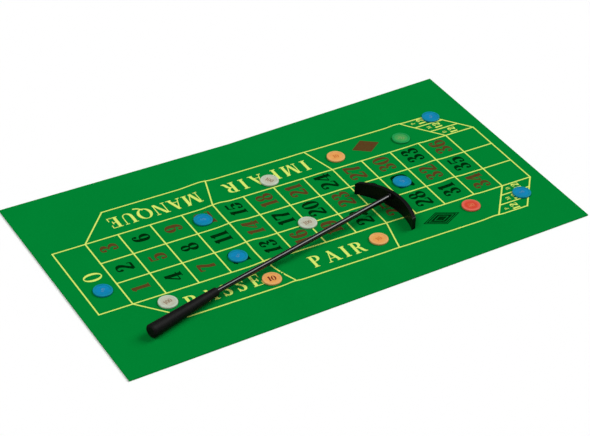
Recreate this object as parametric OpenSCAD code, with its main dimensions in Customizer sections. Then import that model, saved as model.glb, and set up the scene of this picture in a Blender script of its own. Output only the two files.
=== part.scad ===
// Roulette set laid out for play: a printed cloth with loose jetons and a croupier's rake.
// Origin: middle of the cloth's underside. X runs along the cloth, away from the zero box.
// Z is up, and the reader's side of the cloth is at -Y. All lengths are in millimetres.

/* [Cloth] */
// Length of the cloth
cloth_l = 594; // [580:1:640]
// Width of the cloth
cloth_w = 333; // [280:1:380]
// Thickness of the cloth
cloth_t = 1.5; // [1:0.1:3]
// How far the end with the zero was cut towards the reader's side
near_slip = 7; // [0:0.5:12]
// How far the other end was cut away from the reader's side
far_slip = 9; // [0:0.5:12]

/* [Printed layout] */
// Side of one square number cell
cell = 40; // [32:0.5:41]
// Depth of the outside betting field along each long side
field_w = 46.6; // [34:0.2:56]
// Width of a printed line
line_w = 1.7; // [1:0.1:4]
// Depth to which the ink soaks into the cloth
ink_t = 0.3; // [0.2:0.05:0.6]
// Print off centre along the cloth
print_x = 2; // [-3:0.5:3]
// Print off centre across the cloth
print_y = -3.5; // [-6:0.5:6]
// Lean of the slanted line beside the first column
start_lean = 42; // [10:1:60]
// Lean of the line between the first and the second outside field
first_lean = 15; // [-20:1:30]
// Lean of the line between the second and the third outside field
second_lean = -12; // [-30:1:20]
// Lean of the two lines that close the strips for the dozens
dozen_lean = -37; // [-60:1:-10]
// Half length of the red diamond
red_half_l = 18.8; // [8:0.2:24]
// Half width of the red diamond
red_half_w = 13.2; // [6:0.2:15]
// Middle of the red diamond, out from the number block
red_out = 24.6; // [20:0.2:26]
// Half length of the black diamond
black_half_l = 24.8; // [12:0.2:28]
// Half width of the black diamond
black_half_w = 12.6; // [6:0.2:15]
// Middle of the black diamond, out from the number block
black_out = 21.4; // [20:0.2:26]
// Width of the bare outlines inside the black diamond
bare_w = 0.8; // [0.4:0.1:1.1]

/* [Chips] */
// Diameter of a chip
chip_d = 22; // [18:0.5:24]
// Thickness of a chip
chip_t = 2.2; // [1.6:0.1:3.4]
// Width of the raised rim
rim_w = 2.4; // [1.2:0.1:4]
// Depth of the face below the rim
face_drop = 0.25; // [0.1:0.05:0.5]
// Radius of the rounded edge
edge_r = 0.6; // [0.2:0.05:0.8]

/* [Rake blade] */
// Radius of the blade's hollow side
blade_r = 83.5; // [70:0.5:120]
// Thickness of the blade
blade_t = 4.6; // [3.8:0.1:7]
// Width of the blade from end to end
blade_w = 93.4; // [60:0.2:110]
// Height of the blade in the middle
blade_h = 19.3; // [19.2:0.1:26]
// Height of the blade at its ends
blade_end_h = 15.2; // [10:0.2:17]
// Radius of the blade's upper corners
corner_r = 2.6; // [0.5:0.1:2.8]
// Middle of the blade to the side of the stick
blade_shift = 3.3; // [0:0.1:8]
// Outer diameter of the socket on the hollow side
boss_d = 8.6; // [7.8:0.1:9]
// Length of the socket in front of the blade
boss_l = 3; // [1.5:0.5:8]
// Height of the stick's axis at the blade, above the cloth
socket_z = 14.1; // [13:0.1:14.4]

/* [Rake stick and grip] */
// Diameter of the stick
stick_d = 6.3; // [4:0.1:6.6]
// Length of the stick between the socket and the grip
stick_l = 261; // [200:1:280]
// Length of the stick inside the grip
tang_l = 25; // [15:1:27]
// Length of the stick inside the blade itself
seat_l = 3.5; // [1:0.1:4]
// Height of the stick's axis where it enters the grip, above the cloth
mouth_z = 9.6; // [8.5:0.1:13]
// Length of the grip
grip_l = 96; // [70:1:110]
// Diameter of the grip at its butt
grip_d = 15.8; // [12.5:0.1:17]
// Diameter of the grip at its mouth
mouth_d = 10; // [8.4:0.1:11]
// Radius of the butt's rounded edge
butt_r = 2.6; // [1.5:0.1:5.5]
// Angle at which the grip was pushed on askew, seen from above
grip_skew = 3.2; // [0:0.1:3.5]

/* [Where the loose pieces lie] */
// Stick's end at the blade, along the cloth
rake_x = 102.4; // [80:0.2:120]
// Stick's end at the blade, across the cloth
rake_y = -37.1; // [-40:0.1:-20]
// Turn of the rake from the cloth's long side
rake_turn = 13; // [11:0.1:14]
// Distance from the blade to the chip that lies against the stick
beside_l = 196; // [185:1:205]

/* [Hidden] */
$fn = 64;
// Radial clearance of the stick in its socket and in the grip
fit_gap = 0.05;
// Clearance of a round piece over the cloth, and of the chip beside the stick
rest_gap = 0.3;
beside_gap = 0.3;
// Over-cut that keeps the faces of a cut apart
cut = 1;

// A single-zero layout has three rows of twelve numbers
columns = 12;
rows = 3;
block_half = rows * cell / 2;
diamond_column = 9.52;
// Size of each bare outline in the black diamond, as a share of the diamond
ring_shares = [0.9, 0.7, 0.4];

// A point of the number block, counted in cells from the corner beside the zero box
function spot(u, v) = [(u - columns / 2) * cell, (v - rows / 2) * cell];
// The outer end of a slanted line that starts on the block's edge at column u
function leaned(u, lean) = spot(u, rows) + [lean, field_w];
function between(a, b, share) = a + (b - a) * share;

blue = "dodgerblue";
green = "mediumseagreen";
orange = "sandybrown";
red = "tomato";
white = "gainsboro";
// Where the stick's line runs, and the chip that lies against the stick
stick_way = [cos(rake_turn), sin(rake_turn)];
stick_side = [sin(rake_turn), -cos(rake_turn)];
beside_at = [rake_x, rake_y] - stick_way * beside_l
    + stick_side * ((stick_d + chip_d) / 2 + beside_gap);
// Name, colour and place of each chip on the cloth
chips = [
    ["chip_blue_1", blue, [247, 98]],
    ["chip_blue_2", blue, [141, -3.5]],
    ["chip_blue_3", blue, [-101, 36]],
    ["chip_blue_4", blue, [253.5, -86.5]],
    ["chip_blue_5", blue, [-98.5, -42]],
    ["chip_blue_6", blue, [-257, -29]],
    ["chip_green", green, [189, 74.5]],
    ["chip_orange_1", orange, [98.5, 76.5]],
    ["chip_orange_2", orange, [57, -87]],
    ["chip_orange_3", orange, beside_at],
    ["chip_red", red, [186, -81]],
    ["chip_white_1", white, [4, 69.5]],
    ["chip_white_2", white, [1.5, -23.5]],
    ["chip_white_3", white, [-204, -79]]
];

// The stick slopes from its socket down to the grip
slope = atan((socket_z - mouth_z) / (boss_l + stick_l));
// The grip slopes on its own line, until its butt meets the cloth
butt_z = grip_d / 2 + rest_gap;
grip_run = grip_l - butt_r;
grip_slope = asin((mouth_z - butt_z) / grip_run);

// Crown of the blade: one arc over its whole width
crown_rise = blade_h - blade_end_h;
crown_r = (pow(blade_w / 2, 2) + pow(crown_rise, 2)) / (2 * crown_rise);
corner_y = blade_w / 2 - corner_r;
corner_z = blade_h - crown_r + sqrt(pow(crown_r, 2) - pow(corner_y, 2)) - corner_r;
// Middle of the blade's curve, seen from the socket
curve_x = -sqrt(pow(blade_r, 2) - pow(blade_shift, 2));
blade_half_angle = asin(blade_w / 2 / blade_r) + 5;

// One printed line between two points, with square ends
module bar(a, b) {
    run = b - a;
    translate(a) rotate(atan2(run.y, run.x))
        translate([-line_w / 2, -line_w / 2]) square([norm(run) + line_w, line_w]);
}

// Number cells, zero box and the three column boxes
module block_lines() {
    for (u = [-1 : columns + 1]) bar(spot(u, 0), spot(u, rows));
    for (v = [0, rows]) bar(spot(-1, v), spot(columns + 1, v));
    for (v = [1 : rows - 1]) bar(spot(0, v), spot(columns + 1, v));
}

// Outside field along one long side, with the strips for the dozens at its end
module field_lines() {
    third = columns / 3;
    bar(spot(0, rows), leaned(0, start_lean));
    bar(spot(third, rows), leaned(third, first_lean));
    bar(spot(2 * third, rows), leaned(2 * third, second_lean));
    for (u = [columns, columns + 1]) bar(spot(u, rows), leaned(u, dozen_lean));
    bar(leaned(0, start_lean), leaned(columns + 1, dozen_lean));
    for (share = [1 / 3, 2 / 3])
        bar(between(spot(columns, rows), leaned(columns, dozen_lean), share),
            between(spot(columns + 1, rows), leaned(columns + 1, dozen_lean), share));
}

module yellow_outline() {
    block_lines();
    field_lines();
    mirror([0, 1]) field_lines();
}

module diamond(half_l, half_w) {
    polygon([[-half_l, 0], [0, -half_w], [half_l, 0], [0, half_w]]);
}

// Diamond-shaped ring, one bare width inside another
module diamond_ring(share) {
    difference() {
        diamond(black_half_l * share, black_half_w * share);
        diamond(black_half_l * share - 2 * bare_w, black_half_w * share - bare_w);
    }
}

module red_outline() {
    translate([spot(diamond_column, 0).x, block_half + red_out]) diamond(red_half_l, red_half_w);
}

module black_outline() {
    translate([spot(diamond_column, 0).x, -block_half - black_out]) difference() {
        diamond(black_half_l, black_half_w);
        for (share = ring_shares) diamond_ring(share);
    }
}

// Ink in the top of the cloth, over the depth given
module inked(depth) {
    translate([print_x, print_y, cloth_t - ink_t]) linear_extrude(depth) children();
}

// Outline of the cloth: the ends are parallel, the long edges were cut askew and the far one is bent
module cloth_outline() {
    end = cloth_l / 2;
    side = cloth_w / 2;
    polygon([[-end, -side - near_slip], [end, -side + far_slip], [end, side + far_slip],
             [0, side - near_slip], [-end, side - near_slip]]);
}

module cloth() {
    color("green") difference() {
        linear_extrude(cloth_t) cloth_outline();
        inked(ink_t + cut) {
            yellow_outline();
            red_outline();
            black_outline();
        }
    }
}

module yellow_print() {
    color("khaki") inked(ink_t) yellow_outline();
}

module red_print() {
    color("firebrick") inked(ink_t) red_outline();
}

module black_print() {
    color([0.08, 0.08, 0.08]) inked(ink_t) black_outline();
}

// Outline of a chip's half section, with the rounded edge and the face below the rim on both sides
module chip_section() {
    difference() {
        union() {
            square([chip_d / 2 - edge_r, chip_t]);
            translate([0, edge_r]) square([chip_d / 2, chip_t - 2 * edge_r]);
            for (z = [edge_r, chip_t - edge_r])
                translate([chip_d / 2 - edge_r, z]) circle(r = edge_r, $fn = 32);
        }
        for (z = [-cut, chip_t - face_drop])
            translate([-cut, z]) square([chip_d / 2 - rim_w + cut, face_drop + cut]);
    }
}

module chip(shade, place) {
    color(shade) translate([place.x, place.y, cloth_t]) rotate_extrude() chip_section();
}

// Frame of the rake on the cloth: X points from the grip to the blade
module rake_frame() {
    translate([rake_x, rake_y, cloth_t]) rotate(rake_turn) children();
}

// Frame of the stick: its axis is X, and X = 0 is on the blade's hollow side
module stick_frame() {
    rake_frame() translate([0, 0, socket_z]) rotate([0, -slope, 0]) children();
}

// A round bar on the stick's axis from one X to another
module on_axis(from, to, d) {
    translate([from, 0, 0]) rotate([0, 90, 0]) cylinder(h = to - from, d = d);
}

// Front view of the blade: straight foot, upright ends, crowned top with round corners
module blade_outline() {
    difference() {
        intersection() {
            translate([-blade_w / 2, 0]) square([blade_w, blade_h]);
            translate([0, blade_h - crown_r]) circle(r = crown_r, $fn = 360);
        }
        for (side = [0, 1]) mirror([side, 0]) translate([corner_y, corner_z]) difference() {
            square(corner_r + cut);
            circle(r = corner_r);
        }
    }
}

// Curved plate, swept round the blade's own centre and cut to the front view
module blade_plate() {
    reach = blade_r + blade_t + cut;
    translate([curve_x, -blade_shift, 0]) intersection() {
        rotate(-blade_half_angle) rotate_extrude(angle = 2 * blade_half_angle, $fn = 180)
            translate([blade_r, 0]) square([blade_t, blade_h]);
        rotate([90, 0, 90]) linear_extrude(reach) blade_outline();
    }
}

module rake_head() {
    color([0.09, 0.09, 0.1]) difference() {
        union() {
            rake_frame() blade_plate();
            stick_frame() on_axis(-boss_l, blade_t / 2, boss_d);
        }
        stick_frame() on_axis(-boss_l - cut, seat_l, stick_d + 2 * fit_gap);
    }
}

module rake_stick() {
    color([0.05, 0.05, 0.05]) stick_frame()
        on_axis(-boss_l - stick_l - tang_l, seat_l - fit_gap, stick_d);
}

// Half section of the grip from its mouth, at 0, to its butt
module grip_section() {
    polygon([[0, 0], [mouth_d / 2, 0], [grip_d / 2, grip_run], [0, grip_run]]);
    translate([0, grip_run]) intersection() {
        translate([grip_d / 2 - butt_r, 0]) circle(r = butt_r);
        square(grip_d);
    }
    translate([0, grip_run]) square([grip_d / 2 - butt_r, butt_r]);
}

// Frame of the grip: X = 0 is the middle of its mouth, and the butt is on the cloth at -X
module grip_frame() {
    mouth_run = (boss_l + stick_l) * cos(slope);
    rake_frame() translate([-mouth_run, 0, mouth_z])
        rotate([0, 0, grip_skew]) rotate([0, -grip_slope, 0]) children();
}

module rake_grip() {
    color([0.16, 0.16, 0.17]) difference() {
        grip_frame() rotate([0, -90, 0]) rotate_extrude() grip_section();
        stick_frame()
            on_axis(-boss_l - stick_l - tang_l - fit_gap, -boss_l - stick_l + cut, stick_d + 2 * fit_gap);
    }
}

cloth();
yellow_print();
red_print();
black_print();
rake_head();
rake_stick();
rake_grip();
for (c = chips) chip(c[1], c[2]);
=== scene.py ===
# %% [markdown]
# # A roulette set laid out for play
#
# The object is a green felt cloth with a printed betting layout, fourteen small plastic chips on
# it, and the croupier's rake lying across it. Everything with a machined size comes from a packed
# model, which is loaded first and never moved: the blade, the stick, the grip and the chips. What
# is soft or inked is made here: the felt sheet with its fold marks, the print with its numbers and
# words, and the figures stamped into the chips. Lengths are in metres, X runs along the cloth away
# from the zero box, Z is up, and Z = 0 is the table.

# %% Load the fixed frame
import math

import bmesh
import bpy
from mathutils import Matrix, Vector


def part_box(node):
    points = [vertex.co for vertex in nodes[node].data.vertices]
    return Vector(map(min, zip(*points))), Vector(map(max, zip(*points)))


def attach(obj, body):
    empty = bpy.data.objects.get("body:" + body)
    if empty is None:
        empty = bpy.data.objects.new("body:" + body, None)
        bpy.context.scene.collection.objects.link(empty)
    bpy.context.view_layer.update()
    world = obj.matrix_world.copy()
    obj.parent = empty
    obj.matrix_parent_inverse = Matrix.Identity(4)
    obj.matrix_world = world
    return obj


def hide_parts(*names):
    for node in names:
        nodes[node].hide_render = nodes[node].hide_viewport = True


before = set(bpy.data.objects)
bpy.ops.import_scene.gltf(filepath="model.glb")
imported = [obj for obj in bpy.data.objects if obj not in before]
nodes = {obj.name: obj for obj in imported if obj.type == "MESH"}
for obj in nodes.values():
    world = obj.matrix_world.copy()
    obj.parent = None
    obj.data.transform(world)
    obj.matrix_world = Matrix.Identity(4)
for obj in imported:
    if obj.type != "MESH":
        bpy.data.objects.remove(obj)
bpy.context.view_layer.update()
MM = 0.001
print("pieces in the frame:", len(nodes))

# %% [markdown]
# ## Camera
#
# The set was photographed from in front and to the left, about 36 degrees above the table, with a
# long lens. The place and turn of a camera can be found by eye, but a layout of squares gives
# them better: the printed grid's lines meet in the picture at known places, and one camera fits
# them all. A long lens from two metres away keeps the grid's lines nearly parallel, as they are.

# %% Camera
PICTURE_WIDTH_PX = 590
FOCAL_PX = 1973.3
SENSOR_MM = 36
CAMERA_PLACE = (-0.9490, -1.5631, 1.3174)
CAMERA_TURN = (54.0997, -1.8205, -29.9120)  # degrees

lens = bpy.data.cameras.new("camera")
lens.sensor_width = SENSOR_MM
lens.lens = FOCAL_PX / PICTURE_WIDTH_PX * SENSOR_MM
camera = bpy.data.objects.new("camera", lens)
bpy.context.scene.collection.objects.link(camera)
camera.location = CAMERA_PLACE
camera.rotation_euler = [math.radians(turn) for turn in CAMERA_TURN]
bpy.context.scene.camera = camera
print("lens in mm:", round(lens.lens, 1))

# %% [markdown]
# ## Light
#
# A felt cloth is quite matt, so it needs no clever lights: what matters is that a colour comes
# out as it was mixed, and that the stick's shadow lies where it should. That shadow is deep, soft
# and close to the stick on both sides, so the two main lamps stand in line with it, one at each
# end, as two soft boxes would beside a table. The right one is lower and throws the blade's
# shadow back along the stick. A third, in front, fills in. Sun lamps with a wide angle are chosen
# over area lamps, because their light doesn't fade across the cloth. With a little pale sky the
# shares add up to about one, so white paper comes out white.

# %% Light
SKY_SHARE = 0.14
LAMP_WIDE = 38  # degrees of the sky that a lamp fills
LAMPS = {  # share of the light, degrees from overhead, compass way that it comes from (0 is +X)
    "right_lamp": (0.46, 46, 358),
    "left_lamp": (0.28, 32, 182),
    "front_lamp": (0.14, 48, 225),
}

scene = bpy.context.scene
scene.view_settings.view_transform = "Standard"
scene.world = bpy.data.worlds.new("studio")
scene.world.use_nodes = True
sky = scene.world.node_tree.nodes["Background"]
sky.inputs["Color"].default_value = (1, 1, 1, 1)
sky.inputs["Strength"].default_value = SKY_SHARE

for name, (share, tilt, comes_from) in LAMPS.items():
    lamp = bpy.data.objects.new(name, bpy.data.lights.new(name, "SUN"))
    scene.collection.objects.link(lamp)
    lamp.data.angle = math.radians(LAMP_WIDE)
    lamp.data.energy = share * math.pi / math.cos(math.radians(tilt))
    lamp.rotation_euler = (math.radians(tilt), 0, math.radians(comes_from + 90))
print("light on a level face:", round(SKY_SHARE + sum(share for share, *_ in LAMPS.values()), 2))

# %% [markdown]
# ## Finishes, node by node
#
# Every finish here is the same few steps: a base colour, a noise that varies it, and a second
# noise that roughens the surface. A small helper adds a node and links it in one line, so that a
# finish reads as a recipe. The noises read Object coordinates, which are metres, so a scale of
# 1000 means one blotch per millimetre. A noise seldom leaves its middle levels, so the colour
# ramps run between those two and use their whole width.

# %% Finish helpers
NOISE_LOW = 0.35
NOISE_HIGH = 0.65


def paint(red, green, blue):
    """A colour picked on a screen, 0 to 255 each, as the linear light that a shader mixes."""
    def linear(level):
        share = level / 255
        return share / 12.92 if share <= 0.04045 else ((share + 0.055) / 1.055) ** 2.4
    return (linear(red), linear(green), linear(blue), 1.0)


def grey(level):
    """A grey as linear light, from 0 to 1. It also serves as a share that a noise varies."""
    return (level, level, level, 1)


def plain_finish(name, roughness, specular):
    """A new material and its shader, with the values that are the same all over."""
    finish = bpy.data.materials.new(name)
    finish.use_nodes = True
    shader = finish.node_tree.nodes["Principled BSDF"]
    shader.inputs["Roughness"].default_value = roughness
    shader.inputs["Specular IOR Level"].default_value = specular
    return finish, shader


def add_node(finish, kind, links=None, **settings):
    """Adds one shader node. Links fill its inputs from other nodes' outputs, or with values."""
    tree = finish.node_tree
    made = tree.nodes.new("ShaderNode" + kind)
    for name, value in settings.items():
        setattr(made, name, value)
    for name, value in (links or {}).items():
        if isinstance(value, bpy.types.NodeSocket):
            tree.links.new(value, made.inputs[name])
        else:
            made.inputs[name].default_value = value
    return made


def grain(finish, per_metre, detail, stretch=(1, 1, 1), turn=0.0):
    """Noise in object space. A stretch below 1 draws it out along that axis, as fibres."""
    place = add_node(finish, "TexCoord").outputs["Object"]
    lie = add_node(finish, "Mapping", {"Vector": place, "Scale": stretch,
                                       "Rotation": (0, 0, math.radians(turn))})
    noise = add_node(finish, "TexNoise", {"Vector": lie.outputs["Vector"], "Scale": per_metre,
                                          "Detail": detail, "Roughness": 0.6})
    return noise.outputs["Fac"]


def shades(finish, mask, dark, light):
    """Two colours, mixed by a noise."""
    ramp = add_node(finish, "ValToRGB", {"Fac": mask})
    for stop, (level, colour) in zip(ramp.color_ramp.elements,
                                     ((NOISE_LOW, dark), (NOISE_HIGH, light))):
        stop.position = level
        stop.color = colour
    return ramp.outputs["Color"]


def mix_colours(finish, share, first, second, how="MIX"):
    """One colour over another, by a share from 0 to 1. A Mix node also has sockets for numbers
    and vectors, so its two colours are inputs 6 and 7, and the mixed one is output 2."""
    mixed = add_node(finish, "Mix", {0: share, 6: first, 7: second}, data_type="RGBA",
                     blend_type=how)
    return mixed.outputs[2]


def connect(finish, output, shader, socket):
    """Links a node's output to one socket of the shader."""
    finish.node_tree.links.new(output, shader.inputs[socket])


def roughen(finish, shader, height, depth):
    """Bump, by a height of 0 to 1 that stands for the depth in metres."""
    bump = add_node(finish, "Bump", {"Height": height, "Distance": depth, "Strength": 1.0})
    connect(finish, bump.outputs["Normal"], shader, "Normal")


print("half of full brightness, as linear light:", round(paint(128, 128, 128)[0], 3))

# %% [markdown]
# ## Table
#
# The set lies on a plain white board. Any large level plane would do, and one face is enough. It
# lies a hair under the cloth, so that no two level faces share one place, and it is dead matt,
# because a glossy board would mirror the cloth. It is staging, not a piece of the set.

# %% Table
TABLE_REACH = 4  # metres to every side
TABLE_TOP = -0.2 * MM


def finished(name, shape, finish=None):
    """A new object from a bmesh, with its finish. The bmesh is used up."""
    mesh = bpy.data.meshes.new(name)
    shape.to_mesh(mesh)
    shape.free()
    made = bpy.data.objects.new(name, mesh)
    scene.collection.objects.link(made)
    if finish:
        made.data.materials.append(finish)
    return made


tabletop = bmesh.new()
bmesh.ops.create_grid(tabletop, x_segments=1, y_segments=1, size=TABLE_REACH)
bmesh.ops.translate(tabletop, vec=(0, 0, TABLE_TOP), verts=tabletop.verts)
white_board, board_shader = plain_finish("white_board", 1.0, 0.0)
board_shader.inputs["Base Color"].default_value = grey(0.98)
finished("tabletop", tabletop, white_board)
print("table, metres across:", 2 * TABLE_REACH)

# %% [markdown]
# ## Green felt
#
# The cloth is pressed felt: short dyed fibres lying every way, with no threads. A woven pattern
# would be wrong. Two drawn-out noises, crossed, read as fibres about half a millimetre wide, and a
# broad faint one is the uneven dye. Felt has no gloss at all, so its specular level is zero, which
# also keeps the green as deep as it is.

# %% Green felt
GREEN = paint(1, 129, 50)
GREEN_UNEVEN = paint(1, 126, 48)
GREEN_DEEP = paint(0, 117, 43)
GREEN_PALE = paint(3, 137, 58)
FIBRES_PER_METRE = 1400
FIBRE_STRETCH = (0.25, 1, 1)  # four times as long as they are wide
FIBRE_WAYS = (24, -58)  # degrees
FIBRES_SHOW = 0.35
FIBRE_HEIGHT = 0.12 * MM
DYE_PER_METRE = 14


def fibres(finish):
    """Height of the felt's crossed fibres, 0 to 1."""
    one_way, other_way = (grain(finish, FIBRES_PER_METRE, 4, FIBRE_STRETCH, turn)
                          for turn in FIBRE_WAYS)
    both = add_node(finish, "Math", {0: one_way, 1: other_way}, operation="ADD")
    half = add_node(finish, "Math", {0: both.outputs[0], 1: 0.5}, operation="MULTIPLY")
    return half.outputs[0]


felt, felt_shader = plain_finish("green_felt", 1.0, 0.0)
felt_fibres = fibres(felt)
dyed = shades(felt, grain(felt, DYE_PER_METRE, 4), GREEN, GREEN_UNEVEN)
fibre_shades = shades(felt, felt_fibres, GREEN_DEEP, GREEN_PALE)
connect(felt, mix_colours(felt, FIBRES_SHOW, dyed, fibre_shades), felt_shader, "Base Color")
roughen(felt, felt_shader, felt_fibres, FIBRE_HEIGHT)
print("felt colour:", [round(part, 3) for part in GREEN[:3]])

# %% [markdown]
# ## Inks on felt
#
# The layout is screen printed, one pass for each ink. Ink on felt soaks in: it stays matt, the
# fibres still show through it, and a little green comes up where it is thin. So an ink is the
# felt's own recipe with another colour on top, and a noise that lets some green through. The
# black covers best and the red least, so that the red looks brown.

# %% Inks on felt
INK_ROUGHNESS = 0.95
INK_PER_METRE = 900
THINNER = 0.12  # how far the cover falls below its middle
THICKER = 0.08  # and how far it rises above
NAP_SHOWS = 0.12
NAP_HEIGHT = 0.08 * MM
INKS = {  # colour, cover
    "yellow_print": (paint(224, 240, 115), 0.92),
    "red_print": (paint(95, 40, 27), 0.88),
    "black_print": (paint(1, 20, 3), 0.97),
}


def soaked_ink(name, colour, cover):
    """Ink over felt. Cover is how much of the green it hides, from 0 to 1."""
    finish, shader = plain_finish(name, INK_ROUGHNESS, 0.0)
    nap = fibres(finish)
    share = shades(finish, grain(finish, INK_PER_METRE, 3), grey(cover - THINNER),
                   grey(min(1, cover + THICKER)))
    inked = mix_colours(finish, share, GREEN, colour)
    nap_shades = shades(finish, nap, grey(0), grey(1))
    connect(finish, mix_colours(finish, NAP_SHOWS, inked, nap_shades, "OVERLAY"), shader,
            "Base Color")
    roughen(finish, shader, nap, NAP_HEIGHT)
    return finish


inks = {node: soaked_ink(node.replace("print", "ink"), *recipe) for node, recipe in INKS.items()}
print("inks:", [ink.name for ink in inks.values()])

# %% [markdown]
# ## The cloth's lie
#
# The cloth was folded for its box, and its folds still stand up a little: low ridges across it,
# one left of the middle, one near the far end and a faint one between. The photograph shows them,
# because the printed lines jog where they cross a ridge. It could be simulated, but a simulation
# forgets old folds. A plain function of place is exact, and the print can use the same one. The
# felt is pressed flat under each chip, so a ridge dies away near it, and smoothed flat by hand
# towards its long edges.

# %% The cloth's lie
FELT_TOP = 1.46 * MM
INK_TOP = 1.5 * MM
FOLDS = [  # place along the cloth, height, width of the slow side, width of the steep side
    (-70 * MM, 1.75 * MM, 30 * MM, 17 * MM),
    (198 * MM, 1.1 * MM, 17 * MM, 15 * MM),
    (64 * MM, 0.35 * MM, 16 * MM, 22 * MM),
]
PRESS_MARGIN = 2 * MM  # flat felt round a chip
PRESS_REACH = 14 * MM  # over which a fold rises again beyond it
LAID_FLAT = 152 * MM  # from the middle line, where a fold has gone
FLATTENS_OVER = 46 * MM

chip_names = sorted(name for name in nodes if name.startswith("chip_"))
chip_centre = {}
for name in chip_names:
    low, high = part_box(name)
    chip_centre[name] = (low + high) / 2
chip_radius = (high.x - low.x) / 2  # all chips are alike, so the last one serves
chip_top = high.z


def ease(share):
    """Smooth step from 0 to 1."""
    share = min(1.0, max(0.0, share))
    return share * share * (3 - 2 * share)


def fold_height(x, y):
    """How far the felt stands above its flat height at a place on the cloth."""
    rise = 0.0
    for place, height, slow, steep in FOLDS:
        width = slow if x < place else steep
        rise += height * ease(1 - abs(x - place) / width)
    if rise > 0:
        rise *= ease((LAID_FLAT - abs(y)) / FLATTENS_OVER)
        for centre in chip_centre.values():
            away = math.hypot(x - centre.x, y - centre.y) - chip_radius - PRESS_MARGIN
            rise *= ease(away / PRESS_REACH)
    return rise


print("chips:", len(chip_names), "radius in mm:", round(chip_radius / MM, 2))

# %% [markdown]
# ## The felt sheet
#
# The piece was cut by hand and isn't quite square to its print: the reader's edge and the far
# edge both run off a little, and the far edge bends halfway along. The sheet starts as a flat
# grid, fine enough to carry the ridges. Each point moves to its place between the four cut edges
# and up to the fold's height, and one solidify gives the felt its thickness.

# %% The felt sheet
CLOTH_LONG = 594 * MM
CLOTH_WIDE = 334 * MM
LEFT_NEAR = Vector((-296.4, -174.2)) * MM
RIGHT_NEAR = Vector((297.4, -156.9)) * MM
LEFT_FAR = Vector((-297.0, 160.2)) * MM
BEND_FAR = Vector((-2.0, 160.3)) * MM
RIGHT_FAR = Vector((296.2, 174.9)) * MM
BEND_SHARE = 0.497  # of the way along the far edge
GRID_STEP = 4 * MM
CREASE = 35  # degrees; a sharper edge stays crisp

sheet_shape = bmesh.new()
bmesh.ops.create_grid(sheet_shape, x_segments=round(CLOTH_LONG / GRID_STEP),
                      y_segments=round(CLOTH_WIDE / GRID_STEP), size=0.5)
for point in sheet_shape.verts:
    along, across = point.co.x + 0.5, point.co.y + 0.5
    near = LEFT_NEAR.lerp(RIGHT_NEAR, along)
    if along < BEND_SHARE:
        far = LEFT_FAR.lerp(BEND_FAR, along / BEND_SHARE)
    else:
        far = BEND_FAR.lerp(RIGHT_FAR, (along - BEND_SHARE) / (1 - BEND_SHARE))
    place = near.lerp(far, across)
    point.co = (place.x, place.y, FELT_TOP + fold_height(place.x, place.y))
bmesh.ops.solidify(sheet_shape, geom=sheet_shape.faces[:], thickness=FELT_TOP)
bmesh.ops.recalc_face_normals(sheet_shape, faces=sheet_shape.faces)


def soften(piece):
    """Smooth shading, with the sharper edges left crisp."""
    shape = bmesh.new()
    shape.from_mesh(piece.data)
    for face in shape.faces:
        face.smooth = True
    for edge in shape.edges:
        if len(edge.link_faces) == 2:
            edge.smooth = edge.calc_face_angle() < math.radians(CREASE)
    shape.to_mesh(piece.data)
    shape.free()


felt_sheet = finished("felt_sheet", sheet_shape, felt)
soften(felt_sheet)
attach(felt_sheet, "playing_cloth")
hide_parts("cloth")
print("faces of the felt:", len(felt_sheet.data.polygons))

# %% [markdown]
# ## A pen for figures and letters
#
# The figures are a bold old book face: thick uprights, thin level strokes and round dots where a
# curve ends. That contrast comes from a broad pen held level, and a pen is easy to build. Its nib
# is a flat ellipse, wide sideways and narrow upwards. A stroke is a ribbon, one face wide, bent
# along a line; at each point the nib's edge is as far out as an ellipse is in that direction. In
# a tight bend a broad nib's inner edge would run backwards and fold the ribbon over, so a point
# that would step back stays with the one before. A thin end swells from a hairline to the broad
# nib. An oval is a ring between two ellipses.

# %% A pen for figures and letters
BROAD = (0.118, 0.032)  # nibs: half width and half height, in a sign one unit high
BOOK = (0.090, 0.026)
HAIR = (0.030, 0.028)
SLAB = (0.030, 0.066)
ROUND = (0.052, 0.052)
SWELL_RUN = 0.30
CURVE_STEPS = 6
OVAL_STEPS = 40
DOT_STEPS = 20
SAME_PLACE = 1e-6  # two points nearer than this are one


def smooth_line(points):
    """A smooth line through the points (Catmull-Rom); two points stay a straight stroke."""
    if len(points) == 2:
        return [Vector(points[0]), Vector(points[1])]
    ends = [2 * Vector(points[0]) - Vector(points[1])]
    ends += [Vector(p) for p in points]
    ends += [2 * Vector(points[-1]) - Vector(points[-2])]
    line = []
    for a, b, c, d in zip(ends, ends[1:], ends[2:], ends[3:]):
        for step in range(CURVE_STEPS):
            t = step / CURVE_STEPS
            line.append(0.5 * (2 * b + (c - a) * t + (2 * a - 5 * b + 4 * c - d) * t ** 2
                               + (3 * b - a - 3 * c + d) * t ** 3))
    return line + [Vector(points[-1])]


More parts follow.
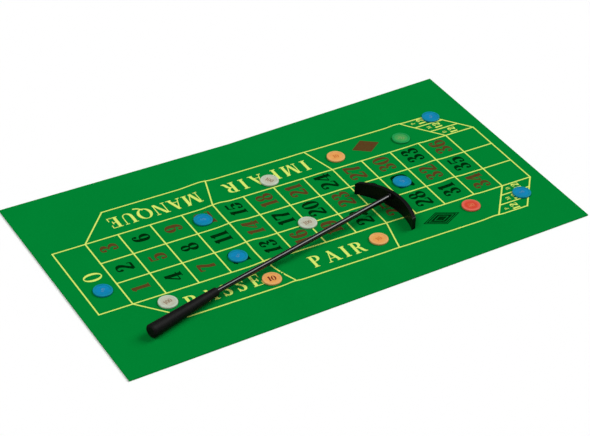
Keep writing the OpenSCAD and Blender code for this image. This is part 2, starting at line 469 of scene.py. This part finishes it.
def ribbon(line, nib, thin_start=False, thin_end=False):
    """A flat ribbon along a line, as wide as the nib leaves it."""
    last = len(line) - 1
    sides = {1: [], -1: []}
    for k in range(last + 1):
        way = (line[min(k + 1, last)] - line[max(k - 1, 0)]).normalized()
        out = Vector((-way.y, way.x))
        full = 1.0
        if thin_start:
            full = min(full, ease((line[k] - line[0]).length / SWELL_RUN))
        if thin_end:
            full = min(full, ease((line[k] - line[last]).length / SWELL_RUN))
        wide = HAIR[0] + (nib[0] - HAIR[0]) * full
        reach = math.hypot(wide * out.x, nib[1] * out.y)
        edge = Vector((wide ** 2 * out.x, nib[1] ** 2 * out.y)) / reach
        for side, places in sides.items():
            place = line[k] + side * edge
            backwards = bool(places) and (place - places[-1]).dot(way) < 0
            places.append(places[-1] if backwards else place)
    shape = bmesh.new()
    bmesh.ops.create_grid(shape, x_segments=last, y_segments=1, size=0.5)
    for point in shape.verts:
        place = sides[1 if point.co.y > 0 else -1][round((point.co.x + 0.5) * last)]
        point.co = (place.x, place.y, 0)
    bmesh.ops.remove_doubles(shape, verts=shape.verts, dist=SAME_PLACE)
    return shape


def oval(centre, radii, nib):
    """A flat ring: a closed oval stroke, drawn with the nib."""
    shape = bmesh.new()
    for side in (1, -1):
        edge = bmesh.ops.create_circle(shape, segments=OVAL_STEPS, radius=1)["verts"]
        across, up = (radius + side * half for radius, half in zip(radii, nib))
        bmesh.ops.scale(shape, vec=(across, up, 1), verts=edge)
    bmesh.ops.bridge_loops(shape, edges=shape.edges[:])
    bmesh.ops.translate(shape, vec=(centre[0], centre[1], 0), verts=shape.verts)
    return shape


def dot(centre, radius):
    """A round dot, flat."""
    shape = bmesh.new()
    bmesh.ops.create_circle(shape, cap_ends=True, segments=DOT_STEPS, radius=radius)
    bmesh.ops.translate(shape, vec=(centre[0], centre[1], 0), verts=shape.verts)
    return shape


print("nibs, half width and half height:", BROAD, BOOK, HAIR, SLAB, ROUND)

# %% [markdown]
# ## From strokes to one sign
#
# Where the strokes of a sign overlap they have to become one piece, or their level faces would
# flicker and their meshes would cut through each other. Each stroke gets a thickness, and an
# exact Boolean joins it to the others. A Boolean joins faces badly that lie in each other, so
# each slab is a hair thicker than the one before, above and below.

# %% From strokes to one sign
INK_DEPTH = 0.3 * MM
SLAB_GROWS = 0.02


def thick(shape):
    """The flat shape as a closed slab, with its underside at z = 0."""
    bmesh.ops.recalc_face_normals(shape, faces=shape.faces)
    bmesh.ops.solidify(shape, geom=shape.faces[:], thickness=INK_DEPTH)
    bmesh.ops.recalc_face_normals(shape, faces=shape.faces)
    lowest = min(point.co.z for point in shape.verts)
    bmesh.ops.translate(shape, vec=(0, 0, -lowest), verts=shape.verts)
    return shape


def joined(slabs):
    """One mesh from overlapping slabs."""
    body = finished("slab", slabs[0])
    for number, slab in enumerate(slabs[1:], 1):
        bmesh.ops.translate(slab, vec=(0, 0, -INK_DEPTH / 2), verts=slab.verts)
        bmesh.ops.scale(slab, vec=(1, 1, 1 + SLAB_GROWS * number), verts=slab.verts)
        bmesh.ops.translate(slab, vec=(0, 0, INK_DEPTH / 2), verts=slab.verts)
        other = finished("slab_part", slab)
        union = body.modifiers.new("union", "BOOLEAN")
        union.operation, union.solver, union.object = "UNION", "EXACT", other
        union.use_self = True
        graph = bpy.context.evaluated_depsgraph_get()
        mesh = bpy.data.meshes.new_from_object(body.evaluated_get(graph))
        body.modifiers.clear()
        body.data = mesh
        bpy.data.objects.remove(other)
    mesh = body.data
    bpy.data.objects.remove(body)
    return mesh


print("depth of a sign in mm:", round(INK_DEPTH / MM, 2))

# %% [markdown]
# ## The signs
#
# Each sign is a list of strokes in a box one unit high, with its width beside it. A stroke is a
# nib and its points; a hook is thin at its first end and a bow at both; an oval is a closed
# stroke; a dot is the round end of a curve. Six turned upside down is nine, and the zero of the
# zero box is drawn lighter than the figures. The letters are only those that the layout's four
# bets and its three dozens need. A level foot, the thin bar at the end of an upright, appears so
# often that it has a name.

# %% The signs
def foot(x, half=0.17, y=0.028):
    """The thin bar that an upright stands on."""
    return (HAIR, [(x - half, y), (x + half, y)])


def head(x, half=0.17):
    """The same bar at the top."""
    return foot(x, half, 0.972)


def upright(x, low=0.0, high=1.0, nib=BROAD):
    """A straight stroke up."""
    return (nib, [(x, low), (x, high)])


SIGNS = {
    "0": (0.68, [("oval", (0.34, 0.5), (0.225, 0.470), BROAD)]),
    "1": (0.44, [upright(0.23), foot(0.23, 0.19), (ROUND, [(0.19, 0.93), (0.04, 0.83)])]),
    "2": (0.66, [("dot", (0.15, 0.74), 0.094), (SLAB, [(0.07, 0.07), (0.57, 0.07)]),
                 ("hook", BROAD, [(0.09, 0.80), (0.17, 0.93), (0.32, 0.970), (0.46, 0.90),
                                  (0.52, 0.74), (0.45, 0.54), (0.29, 0.34), (0.11, 0.10)]),
                 (HAIR, [(0.58, 0.03), (0.60, 0.15), (0.61, 0.28)])]),
    "3": (0.62, [("dot", (0.14, 0.78), 0.088), ("dot", (0.14, 0.23), 0.092),
                 ("bow", BROAD, [(0.08, 0.82), (0.16, 0.94), (0.30, 0.970), (0.42, 0.89),
                                 (0.46, 0.76), (0.40, 0.61), (0.22, 0.53)]),
                 ("bow", BROAD, [(0.20, 0.53), (0.40, 0.47), (0.50, 0.29), (0.43, 0.10),
                                 (0.28, 0.030), (0.14, 0.07), (0.08, 0.19)])]),
    "4": (0.73, [upright(0.49, 0.0, 0.98), foot(0.49, 0.19), (ROUND, [(0.46, 0.95), (0.06, 0.29)]),
                 (HAIR, [(0.03, 0.27), (0.71, 0.27)])]),
    "5": (0.62, [(SLAB, [(0.12, 0.90), (0.52, 0.90)]), (HAIR, [(0.13, 0.95), (0.11, 0.50)]),
                 ("dot", (0.14, 0.25), 0.092),
                 ("bow", BROAD, [(0.11, 0.51), (0.20, 0.58), (0.34, 0.60), (0.46, 0.51),
                                 (0.50, 0.33), (0.43, 0.11), (0.28, 0.030), (0.14, 0.07),
                                 (0.08, 0.20)])]),
    "6": (0.62, [("oval", (0.32, 0.31), (0.19, 0.280), BROAD), ("dot", (0.47, 0.80), 0.088),
                 ("hook", BROAD, [(0.53, 0.85), (0.45, 0.95), (0.34, 0.965), (0.22, 0.87),
                                  (0.145, 0.68), (0.13, 0.46), (0.135, 0.30)])]),
    "7": (0.62, [(SLAB, [(0.05, 0.915), (0.57, 0.915)]), (HAIR, [(0.05, 0.98), (0.04, 0.70)]),
                 (BROAD, [(0.52, 0.94), (0.42, 0.62), (0.32, 0.34), (0.29, 0.0)])]),
    "8": (0.65, [("oval", (0.325, 0.745), (0.160, 0.225), (0.095, 0.030)),
                 ("oval", (0.325, 0.275), (0.205, 0.245), BROAD)]),
    "zero": (0.66, [("oval", (0.33, 0.5), (0.25, 0.472), (0.072, 0.028))]),
    "A": (0.88, [(HAIR, [(0.13, 0.03), (0.43, 0.98)]), (BOOK, [(0.40, 1.0), (0.71, 0.0)]),
                 (HAIR, [(0.20, 0.31), (0.62, 0.31)]), foot(0.13, 0.12), foot(0.71)]),
    "D": (0.86, [upright(0.20, nib=BOOK), foot(0.18), head(0.18),
                 (BOOK, [(0.25, 0.972), (0.50, 0.93), (0.69, 0.76), (0.75, 0.5), (0.69, 0.24),
                         (0.50, 0.07), (0.25, 0.028)])]),
    "E": (0.68, [upright(0.20, nib=BOOK), (HAIR, [(0.03, 0.972), (0.62, 0.972)]),
                 foot(0.335, 0.305), (HAIR, [(0.20, 0.5), (0.46, 0.5)]),
                 (HAIR, [(0.62, 1.0), (0.61, 0.70)]), (HAIR, [(0.64, 0.0), (0.63, 0.32)]),
                 (HAIR, [(0.46, 0.37), (0.46, 0.63)])]),
    "I": (0.38, [upright(0.19, nib=BOOK), foot(0.19), head(0.19)]),
    "M": (1.05, [upright(0.14, nib=HAIR), foot(0.14, 0.12), head(0.14, 0.12),
                 (BOOK, [(0.20, 1.0), (0.50, 0.0)]), (HAIR, [(0.50, 0.04), (0.83, 0.98)]),
                 upright(0.88, nib=BOOK), foot(0.88), head(0.91, 0.12)]),
    "N": (0.88, [upright(0.14, nib=HAIR), foot(0.14, 0.12), head(0.12, 0.10),
                 (BOOK, [(0.20, 1.0), (0.71, 0.0)]), upright(0.75, nib=HAIR), head(0.75, 0.12)]),
    "P": (0.72, [upright(0.20, nib=BOOK), foot(0.20), head(0.18, 0.15),
                 (BOOK, [(0.24, 0.972), (0.43, 0.95), (0.55, 0.87), (0.59, 0.74), (0.55, 0.60),
                         (0.43, 0.51), (0.24, 0.48)])]),
    "Q": (0.95, [("oval", (0.47, 0.5), (0.36, 0.472), BOOK),
                 (ROUND, [(0.42, 0.12), (0.53, 0.01), (0.69, -0.13), (0.92, -0.19)])]),
    "R": (0.82, [upright(0.20, nib=BOOK), foot(0.20), head(0.18, 0.15),
                 (BOOK, [(0.24, 0.972), (0.43, 0.95), (0.55, 0.87), (0.58, 0.75), (0.55, 0.62),
                         (0.43, 0.53), (0.24, 0.50)]),
                 (BOOK, [(0.40, 0.51), (0.53, 0.38), (0.59, 0.18), (0.68, 0.04)]),
                 (HAIR, [(0.62, 0.03), (0.80, 0.04)])]),
    "S": (0.60, [("bow", BOOK, [(0.49, 0.80), (0.42, 0.92), (0.29, 0.972), (0.17, 0.90),
                                (0.14, 0.75), (0.22, 0.61), (0.37, 0.48), (0.46, 0.32),
                                (0.43, 0.13), (0.30, 0.028), (0.16, 0.08), (0.10, 0.22)]),
                 (HAIR, [(0.53, 1.0), (0.52, 0.68)]), (HAIR, [(0.06, 0.0), (0.07, 0.34)])]),
    "U": (0.86, [(BOOK, [(0.20, 1.0), (0.20, 0.62), (0.21, 0.30), (0.30, 0.10), (0.46, 0.028)]),
                 (HAIR, [(0.44, 0.03), (0.60, 0.09), (0.69, 0.27), (0.71, 0.60), (0.71, 1.0)]),
                 head(0.20), head(0.71, 0.12)]),
}


def drawn(kind, *rest):
    """The flat shape of one stroke. A plain stroke has its nib where the others name a kind."""
    if kind == "oval":
        return oval(*rest)
    if kind == "dot":
        return dot(*rest)
    if kind in ("hook", "bow"):
        nib, points = rest
        return ribbon(smooth_line(points), nib, thin_start=True, thin_end=kind == "bow")
    return ribbon(smooth_line(rest[0]), kind)


sign_mesh = {}
sign_width = {}
for sign, (width, strokes) in SIGNS.items():
    sign_mesh[sign] = joined([thick(drawn(*stroke)) for stroke in strokes])
    sign_width[sign] = width

nine = bmesh.new()
nine.from_mesh(sign_mesh["6"])
bmesh.ops.rotate(nine, verts=nine.verts, cent=(sign_width["6"] / 2, 0.5, 0),
                 matrix=Matrix.Rotation(math.pi, 3, "Z"))
sign_mesh["9"] = bpy.data.meshes.new("nine")
nine.to_mesh(sign_mesh["9"])
nine.free()
sign_width["9"] = sign_width["6"]
print("signs:", "".join(sorted(sign_mesh)))

# %% [markdown]
# ## Setting the type
#
# A compositor sets a word by putting one block beside the next and a thin space between. The
# same happens here: every sign's mesh is copied into one print, scaled to its height, turned, and
# moved to its place. A word may be given the width it has to fill, and then the spaces stretch.

# %% Setting the type
CELL = 40 * MM
COLUMNS = 12
ROWS = 3
PRINT_MIDDLE = Vector((2, -3.5)) * MM
UP_IS_LEFT = 90  # degrees; the heads of the figures point to the zero box


def spot(column, row):
    """A point of the layout, counted in cells from the corner beside the zero box."""
    return PRINT_MIDDLE + Vector(((column - COLUMNS / 2) * CELL, (row - ROWS / 2) * CELL))


def set_type(sheet, text, centre, height, turn=0.0, fill=None, space=0.05, stretch=1.0):
    """Adds a word or number to a print, centred on a place. Turn is in degrees."""
    widths = [sign_width[sign] * stretch for sign in text]
    if fill is not None and len(text) > 1:
        space = (fill / height - sum(widths)) / (len(text) - 1)
    size = Matrix.Diagonal((height * stretch, height, 1, 1))
    lie = (Matrix.Translation((centre[0], centre[1], 0))
           @ Matrix.Rotation(math.radians(turn), 4, "Z"))
    start = -(sum(widths) + space * (len(text) - 1)) / 2
    for sign, width in zip(text, widths):
        block = bmesh.new()
        block.from_mesh(sign_mesh[sign])
        put = Matrix.Translation((start * height, -height / 2, 0))
        bmesh.ops.transform(block, matrix=lie @ put @ size, verts=block.verts)
        spare = bpy.data.meshes.new("block")
        block.to_mesh(spare)
        block.free()
        sheet.from_mesh(spare)
        bpy.data.meshes.remove(spare)
        start += width + space


print("cell in mm:", round(CELL / MM))

# %% [markdown]
# ## The three prints
#
# The lines and the diamonds are in the frame already, joined at their crossings, so each print
# starts as a copy of that node with its doubles merged. The type is then set around them: black
# and red numbers up the columns, the zero and the four even bets in yellow, and the small twelve
# with its dozen's letter in every slanted strip.

# %% The three prints
REDS = (1, 3, 5, 7, 9, 12, 14, 16, 18, 19, 21, 23, 25, 27, 30, 32, 34, 36)
FIGURE_HIGH = 20.9 * MM
FIGURE_STRETCH = 1.03
FIGURE_AT = (0.51, 0.55)  # where in its cell a number has its middle
ZERO_HIGH = 21.8 * MM
ZERO_STRETCH = 1.04
ZERO_AT = (-0.46, 1.545)
CAPITAL_HIGH = 20 * MM
WORDS = [  # word, middle column, row, width in cells, turn
    ("MANQUE", 2.455, 3.555, 2.88, 180), ("IMPAIR", 6.08, 3.555, 2.81, 180),
    ("PASSE", 2.42, -0.615, 2.29, 0), ("PAIR", 6.0, -0.62, 1.74, 0),
]
LETTER_HIGH = 5 * MM
TWELVE_HIGH = 9.5 * MM
TWELVE_SPACE = 0.1
STRIPS = [  # letter, its column, the row, the twelve's column, from the outermost strip inwards
    ("P", 11.46, 4.0, 11.75), ("M", 11.79, 3.60, 12.08), ("D", 12.07, 3.18, 12.36),
]


def print_from(node):
    """A copy of a printed node, with its doubles merged."""
    shape = bmesh.new()
    shape.from_mesh(nodes[node].data)
    bmesh.ops.remove_doubles(shape, verts=shape.verts, dist=SAME_PLACE)
    bmesh.ops.translate(shape, vec=(0, 0, INK_DEPTH - INK_TOP), verts=shape.verts)
    return shape


prints = {node: print_from(node) for node in INKS}
yellow = prints["yellow_print"]
for number in range(1, COLUMNS * ROWS + 1):
    column, row = (number - 1) // ROWS, (number - 1) % ROWS
    ink = "red_print" if number in REDS else "black_print"
    set_type(prints[ink], str(number), spot(column + FIGURE_AT[0], row + FIGURE_AT[1]),
             FIGURE_HIGH, UP_IS_LEFT, stretch=FIGURE_STRETCH)
set_type(yellow, ["zero"], spot(*ZERO_AT), ZERO_HIGH, UP_IS_LEFT, stretch=ZERO_STRETCH)
for word, column, row, wide, turn in WORDS:
    set_type(yellow, word, spot(column, row), CAPITAL_HIGH, turn, fill=wide * CELL)
for letter, letter_column, row, twelve_column in STRIPS:
    for side in (row, ROWS - row):
        set_type(yellow, letter, spot(letter_column, side), LETTER_HIGH, UP_IS_LEFT)
        set_type(yellow, "12", spot(twelve_column, side), TWELVE_HIGH, UP_IS_LEFT,
                 space=TWELVE_SPACE)
print("faces set:", {node: len(shape.faces) for node, shape in prints.items()})

# %% [markdown]
# ## Laying the ink on the felt
#
# A print is flat, and the felt isn't quite. Cutting the print by planes a few millimetres apart
# gives it points enough to bend. The planes across the cloth stand only at the folds, so that the
# flat stretches stay light; those along it are spread over its whole width, because a fold dies
# away towards the edges and at each chip. Each point then rises as the felt under it does. The
# ink's top stands a hair above the felt.

# %% Laying the ink on the felt
CUT_STEP = 4 * MM
CUTS_PER_SIDE = 40
ON_THE_CUT = 1e-7  # metres


def cut(shape, place, facing):
    """Cuts a whole print along a plane through a place."""
    bmesh.ops.bisect_plane(shape, geom=shape.verts[:] + shape.edges[:] + shape.faces[:],
                           dist=ON_THE_CUT, plane_co=place, plane_no=facing)


def lay_print(node, shape, finish):
    """Cuts a print across the folds, lifts it onto the felt and makes it a piece."""
    for place, height, slow, steep in FOLDS:
        cuts = round((slow + steep) / CUT_STEP)
        for k in range(cuts + 1):
            cut(shape, (place - slow + (slow + steep) * k / cuts, 0, 0), (1, 0, 0))
    for k in range(-CUTS_PER_SIDE, CUTS_PER_SIDE + 1):
        cut(shape, (0, k * CUT_STEP, 0), (0, 1, 0))
    for point in shape.verts:
        point.co.z += INK_TOP - INK_DEPTH + fold_height(point.co.x, point.co.y)
    piece = finished(node + "_ink", shape, finish)
    soften(piece)
    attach(piece, "playing_cloth")
    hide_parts(node)
    return piece


print_pieces = [lay_print(node, shape, inks[node]) for node, shape in prints.items()]
print("faces laid:", {piece.name: len(piece.data.polygons) for piece in print_pieces})

# %% [markdown]
# ## Chips
#
# The chips are pressed from coloured plastic: satin, like a shirt button, with a faint flow
# pattern. Rim and face differ a little in colour, and that difference is painted light: the rim
# is paler on the orange, red and white chips and greener on the blue and green ones, a painted
# highlight of the rounded edge and a painted green cast from the felt. Their shapes are in the
# frame, so each only gets its plastic. A ring mask, the distance from the chip's own middle, tells
# rim from face for that painted rim light, and the flow pattern lies another way on every chip.

# %% Chips
# Face colour, then rim colour; the rim colour carries a painted edge highlight and a painted green
# cast from the felt.
PLASTICS_WITH_PAINTED_RIM_LIGHT = {  # face, rim
    "blue": (paint(0, 129, 178), paint(0, 131, 164)),
    "green": (paint(63, 159, 80), paint(24, 152, 77)),
    "orange": (paint(229, 160, 86), paint(228, 168, 102)),
    "red": (paint(209, 70, 48), paint(222, 100, 82)),
    "white": (paint(187, 188, 168), paint(190, 200, 182)),
}
FACE_EDGE = 6.5 * MM
RIM_EDGE = 9.2 * MM
FLOW_PER_METRE = 260
FLOW_SHOWS = 0.10
FLOW_TURN = 1900  # degrees of turn for each metre along the cloth
DIMPLES_PER_METRE = 900
DIMPLE_DEPTH = 0.015 * MM


def chip_plastic(name, colours, centre):
    """Satin plastic for one chip, with a painted highlight and a painted green cast towards its
    rim.
    """
    finish, shader = plain_finish(name, roughness=0.42, specular=0.18)
    place = add_node(finish, "TexCoord").outputs["Object"]
    flat = add_node(finish, "VectorMath", {0: place, 1: (1, 1, 0)}, operation="MULTIPLY")
    out = add_node(finish, "VectorMath", {0: flat.outputs["Vector"], 1: (centre.x, centre.y, 0)},
                   operation="DISTANCE")
    ring = add_node(finish, "MapRange", {"Value": out.outputs["Value"], "From Min": FACE_EDGE,
                                         "From Max": RIM_EDGE}, interpolation_type="SMOOTHSTEP")
    face, rim = colours
    # Towards the rim the colour turns to painted light: a painted edge highlight and a painted
    # green cast from the felt.
    with_painted_rim_light = mix_colours(finish, ring.outputs["Result"], face, rim)
    flow = grain(finish, FLOW_PER_METRE, 2, stretch=(0.3, 1, 1), turn=centre.x * FLOW_TURN)
    flow_shades = shades(finish, flow, grey(0.1), grey(0.9))
    connect(finish, mix_colours(finish, FLOW_SHOWS, with_painted_rim_light, flow_shades, "OVERLAY"), shader,
            "Base Color")
    roughen(finish, shader, grain(finish, DIMPLES_PER_METRE, 2), DIMPLE_DEPTH)
    return finish


def refinish(node, finish):
    """Gives a node of the frame its finish, and changes nothing else."""
    nodes[node].data.materials.clear()
    nodes[node].data.materials.append(finish)


for name in chip_names:
    shade = name.split("_")[1]
    refinish(name, chip_plastic(name + "_plastic", PLASTICS_WITH_PAINTED_RIM_LIGHT[shade], chip_centre[name]))
print("plastics:", sorted(PLASTICS_WITH_PAINTED_RIM_LIGHT))

# %% [markdown]
# ## Stamped values
#
# Every chip carries its value, stamped through a coloured foil into the sunken face. It is the
# same type as the cloth's, only six millimetres high, so the same blocks are set again, one
# number on each face. The foil is thin and a little metallic, and each chip lies turned its own
# way. One orange chip is of another set, with a larger number in dark foil.

# %% Stamped values
STAMP_HIGH = 6.2 * MM
STAMP_DEPTH = 0.04 * MM
STAMP_SPACE = 0.02
DARK_LARGER = 1.35
HUNDRED_NARROWER = 0.85
FACE_DROP = 0.25 * MM  # the sunken face, below the chip's rim
FOIL_WORN = 0.8  # of its colour, where the foil has rubbed off
FOILS = {
    "blue": paint(84, 146, 190), "green": paint(120, 176, 96), "orange": paint(222, 128, 52),
    "red": paint(238, 122, 80), "white": paint(158, 132, 104), "dark": paint(132, 44, 22),
}
STAMPS = {  # value, turn, foil
    "chip_blue_1": ("5", -25, "blue"), "chip_blue_2": ("5", 35, "blue"),
    "chip_blue_3": ("5", 70, "blue"), "chip_blue_4": ("5", 82, "blue"),
    "chip_blue_5": ("5", -50, "blue"), "chip_blue_6": ("5", 140, "blue"),
    "chip_green": ("20", -40, "green"), "chip_orange_1": ("10", -7, "orange"),
    "chip_orange_2": ("10", 8, "orange"), "chip_orange_3": ("10", -7, "dark"),
    "chip_red": ("50", -5, "red"), "chip_white_1": ("100", -60, "white"),
    "chip_white_2": ("100", 6, "white"), "chip_white_3": ("100", 17, "white"),
}


def foil_finish(name, colour):
    """Stamping foil, a little metallic and worn in spots."""
    finish, shader = plain_finish(name, roughness=0.42, specular=0.5)
    shader.inputs["Metallic"].default_value = 0.15
    rubbed = tuple(part * FOIL_WORN for part in colour[:3]) + (1,)
    connect(finish, shades(finish, grain(finish, 1500, 3), colour, rubbed), shader, "Base Color")
    return finish


foils = {name: foil_finish("foil_" + name, colour) for name, colour in FOILS.items()}
for name, (value, turn, foil) in STAMPS.items():
    stamp = bmesh.new()
    centre = chip_centre[name]
    high = STAMP_HIGH * (DARK_LARGER if foil == "dark" else 1)
    set_type(stamp, value, (centre.x, centre.y), high, turn, space=STAMP_SPACE,
             stretch=HUNDRED_NARROWER if len(value) > 2 else 1.0)
    bmesh.ops.scale(stamp, vec=(1, 1, STAMP_DEPTH / INK_DEPTH), verts=stamp.verts)
    bmesh.ops.translate(stamp, vec=(0, 0, chip_top - FACE_DROP - STAMP_DEPTH / 2),
                        verts=stamp.verts)
    piece = finished(name.replace("chip", "value"), stamp, foils[foil])
    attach(piece, name)
print("stamped:", len(STAMPS))

# %% [markdown]
# ## Rake
#
# The blade is black moulded plastic and the stick a rod lacquered black. Both are nearly
# colourless, so only their gloss tells them from a hole: a thin light line along the stick and a
# grey rim on the blade. The grip is soft foam rubber, dull and faintly pitted. Each black is
# uneven in its own way, coarser on the grip, so one recipe with other numbers serves all three.

# %% Rake finishes
PEBBLE_DEPTH = 0.01 * MM
PIT_DEPTH = 0.10 * MM


def uneven_black(name, roughness, specular, per_metre, detail, dark, light):
    """A near-black finish and its shader, with a noise between two blacks."""
    finish, shader = plain_finish(name, roughness, specular)
    blacks = shades(finish, grain(finish, per_metre, detail), dark, light)
    connect(finish, blacks, shader, "Base Color")
    return finish, shader


blade_plastic, blade_shader = uneven_black(
    "black_blade", roughness=0.42, specular=0.14, per_metre=300, detail=3,
    dark=paint(2, 2, 2), light=paint(8, 8, 8))
roughen(blade_plastic, blade_shader, grain(blade_plastic, 700, 2), PEBBLE_DEPTH)
stick_lacquer, _ = uneven_black(
    "black_stick", roughness=0.10, specular=0.55, per_metre=400, detail=3,
    dark=paint(1, 1, 1), light=paint(6, 6, 6))
grip_rubber, grip_shader = uneven_black(
    "grip_rubber", roughness=0.58, specular=0.14, per_metre=160, detail=4,
    dark=paint(3, 3, 3), light=paint(11, 11, 10))
roughen(grip_rubber, grip_shader, grain(grip_rubber, 1300, 3), PIT_DEPTH)

refinish("rake_head", blade_plastic)
refinish("rake_stick", stick_lacquer)
refinish("rake_grip", grip_rubber)
print("rake finishes:", blade_plastic.name, stick_lacquer.name, grip_rubber.name)
